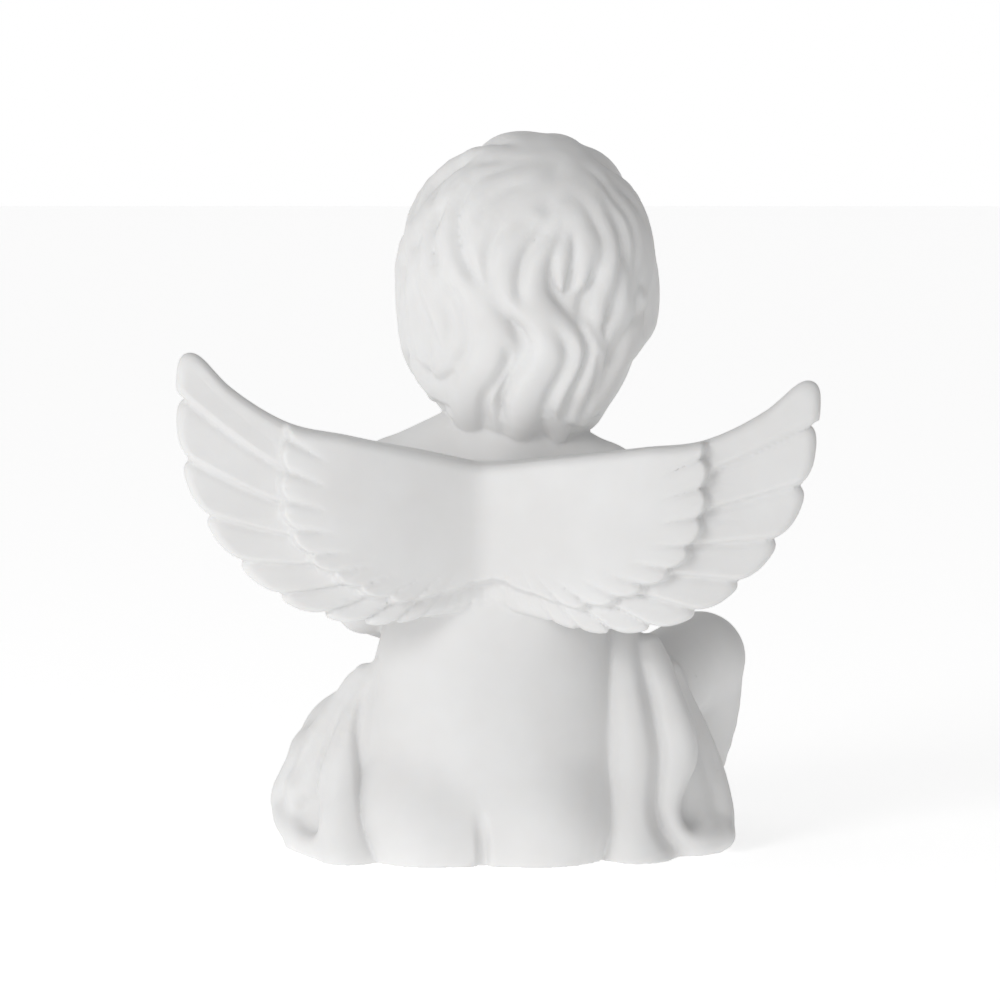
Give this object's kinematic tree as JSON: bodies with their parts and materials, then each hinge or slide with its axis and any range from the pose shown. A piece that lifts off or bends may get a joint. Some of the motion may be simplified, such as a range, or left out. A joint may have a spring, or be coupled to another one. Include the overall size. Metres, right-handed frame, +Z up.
{
  "type": "seated cherub angel figurine",
  "caption": "Seated child angel figurine of matt white bisque porcelain, with curly hair, short feathered wings and a cloth round its hips.",
  "frame": {"origin": "middle of the bounding box on the ground, at the flat underside", "axes": "+Z up; the figure faces -Y, so its wings are towards +Y; its own left side is towards +X"},
  "size_m": [0.1252, 0.089, 0.1454],
  "materials": {
    "bisque_porcelain": "matt, unglazed"
  },
  "bodies": {
    "root": {"angel": "bisque_porcelain"}
  },
  "joints": []
}
